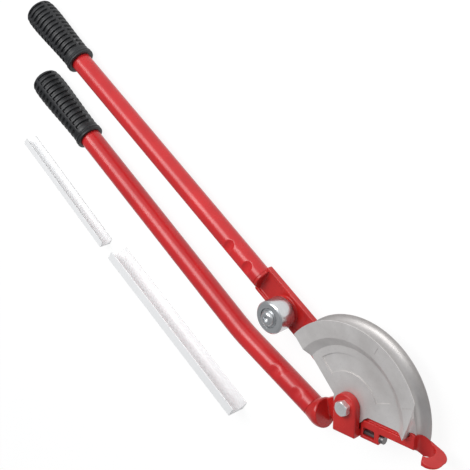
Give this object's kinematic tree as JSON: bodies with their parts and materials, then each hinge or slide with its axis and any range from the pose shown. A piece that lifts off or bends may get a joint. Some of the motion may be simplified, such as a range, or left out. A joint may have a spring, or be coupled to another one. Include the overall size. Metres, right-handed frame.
{
  "type": "manual pipe bender",
  "caption": "Two-handled lever pipe bender with a half-disc former, hinged arm with a roller, pipe hook and loose channel guides.",
  "frame": {"origin": "on the pivot axis, at the underside of the lock nut, where the head rests on the floor", "axes": "+X from the handles towards the head, +Z along the pivot bolt towards its head"},
  "size_m": [0.7675, 0.2912, 0.055],
  "materials": {
    "red_paint": "glossy red enamel on steel tube",
    "red_casting": "satin red enamel on a casting",
    "grip_rubber": "matt black rubber",
    "former_metal": "bead blasted cast aluminium",
    "steel": "ground steel",
    "zinc_plate": "bright zinc plated steel",
    "roller_zinc": "turned and zinc plated steel",
    "bronze": "sintered bronze",
    "guide_metal": "extruded aluminium, satin"
  },
  "bodies": {
    "fixed_arm": {"fixed_handle_tube": "red_paint", "fixed_handle_grip": "grip_rubber", "yoke_casting": "red_casting", "hook_casting": "red_casting", "hook_washer": "zinc_plate", "hook_screw": "zinc_plate", "former": "former_metal", "former_pins": "steel", "pivot_bolt": "zinc_plate", "pivot_nut": "zinc_plate"},
    "moving_arm": {"lever_casting": "red_casting", "moving_handle_tube": "red_paint", "moving_handle_grip": "grip_rubber", "pivot_bush": "bronze", "roller_screw": "zinc_plate", "roller_washer": "zinc_plate", "roller_nut": "zinc_plate"},
    "roller_wheel": {"roller": "roller_zinc", "roller_bush": "bronze"},
    "long_guide_loose": {"long_guide": "guide_metal"},
    "short_guide_loose": {"short_guide": "guide_metal"}
  },
  "joints": [
    {"name": "arm_pivot", "type": "hinge", "parent": "fixed_arm", "child": "moving_arm", "pos_m": [0, 0, 0.018], "axis": [0, 0, 1], "range_deg": [-129, 0]},
    {"name": "roller_spin", "type": "hinge", "parent": "moving_arm", "child": "roller_wheel", "pos_m": [-0.1326, -0.0033, 0.035], "axis": [0, 0, 1], "continuous": true},
    {"name": "long_guide_lift", "type": "slide", "parent": "fixed_arm", "child": "long_guide_loose", "axis": [0, 0, 1], "range_m": [0, 0.08]},
    {"name": "short_guide_lift", "type": "slide", "parent": "fixed_arm", "child": "short_guide_loose", "axis": [0, 0, 1], "range_m": [0, 0.08]}
  ]
}
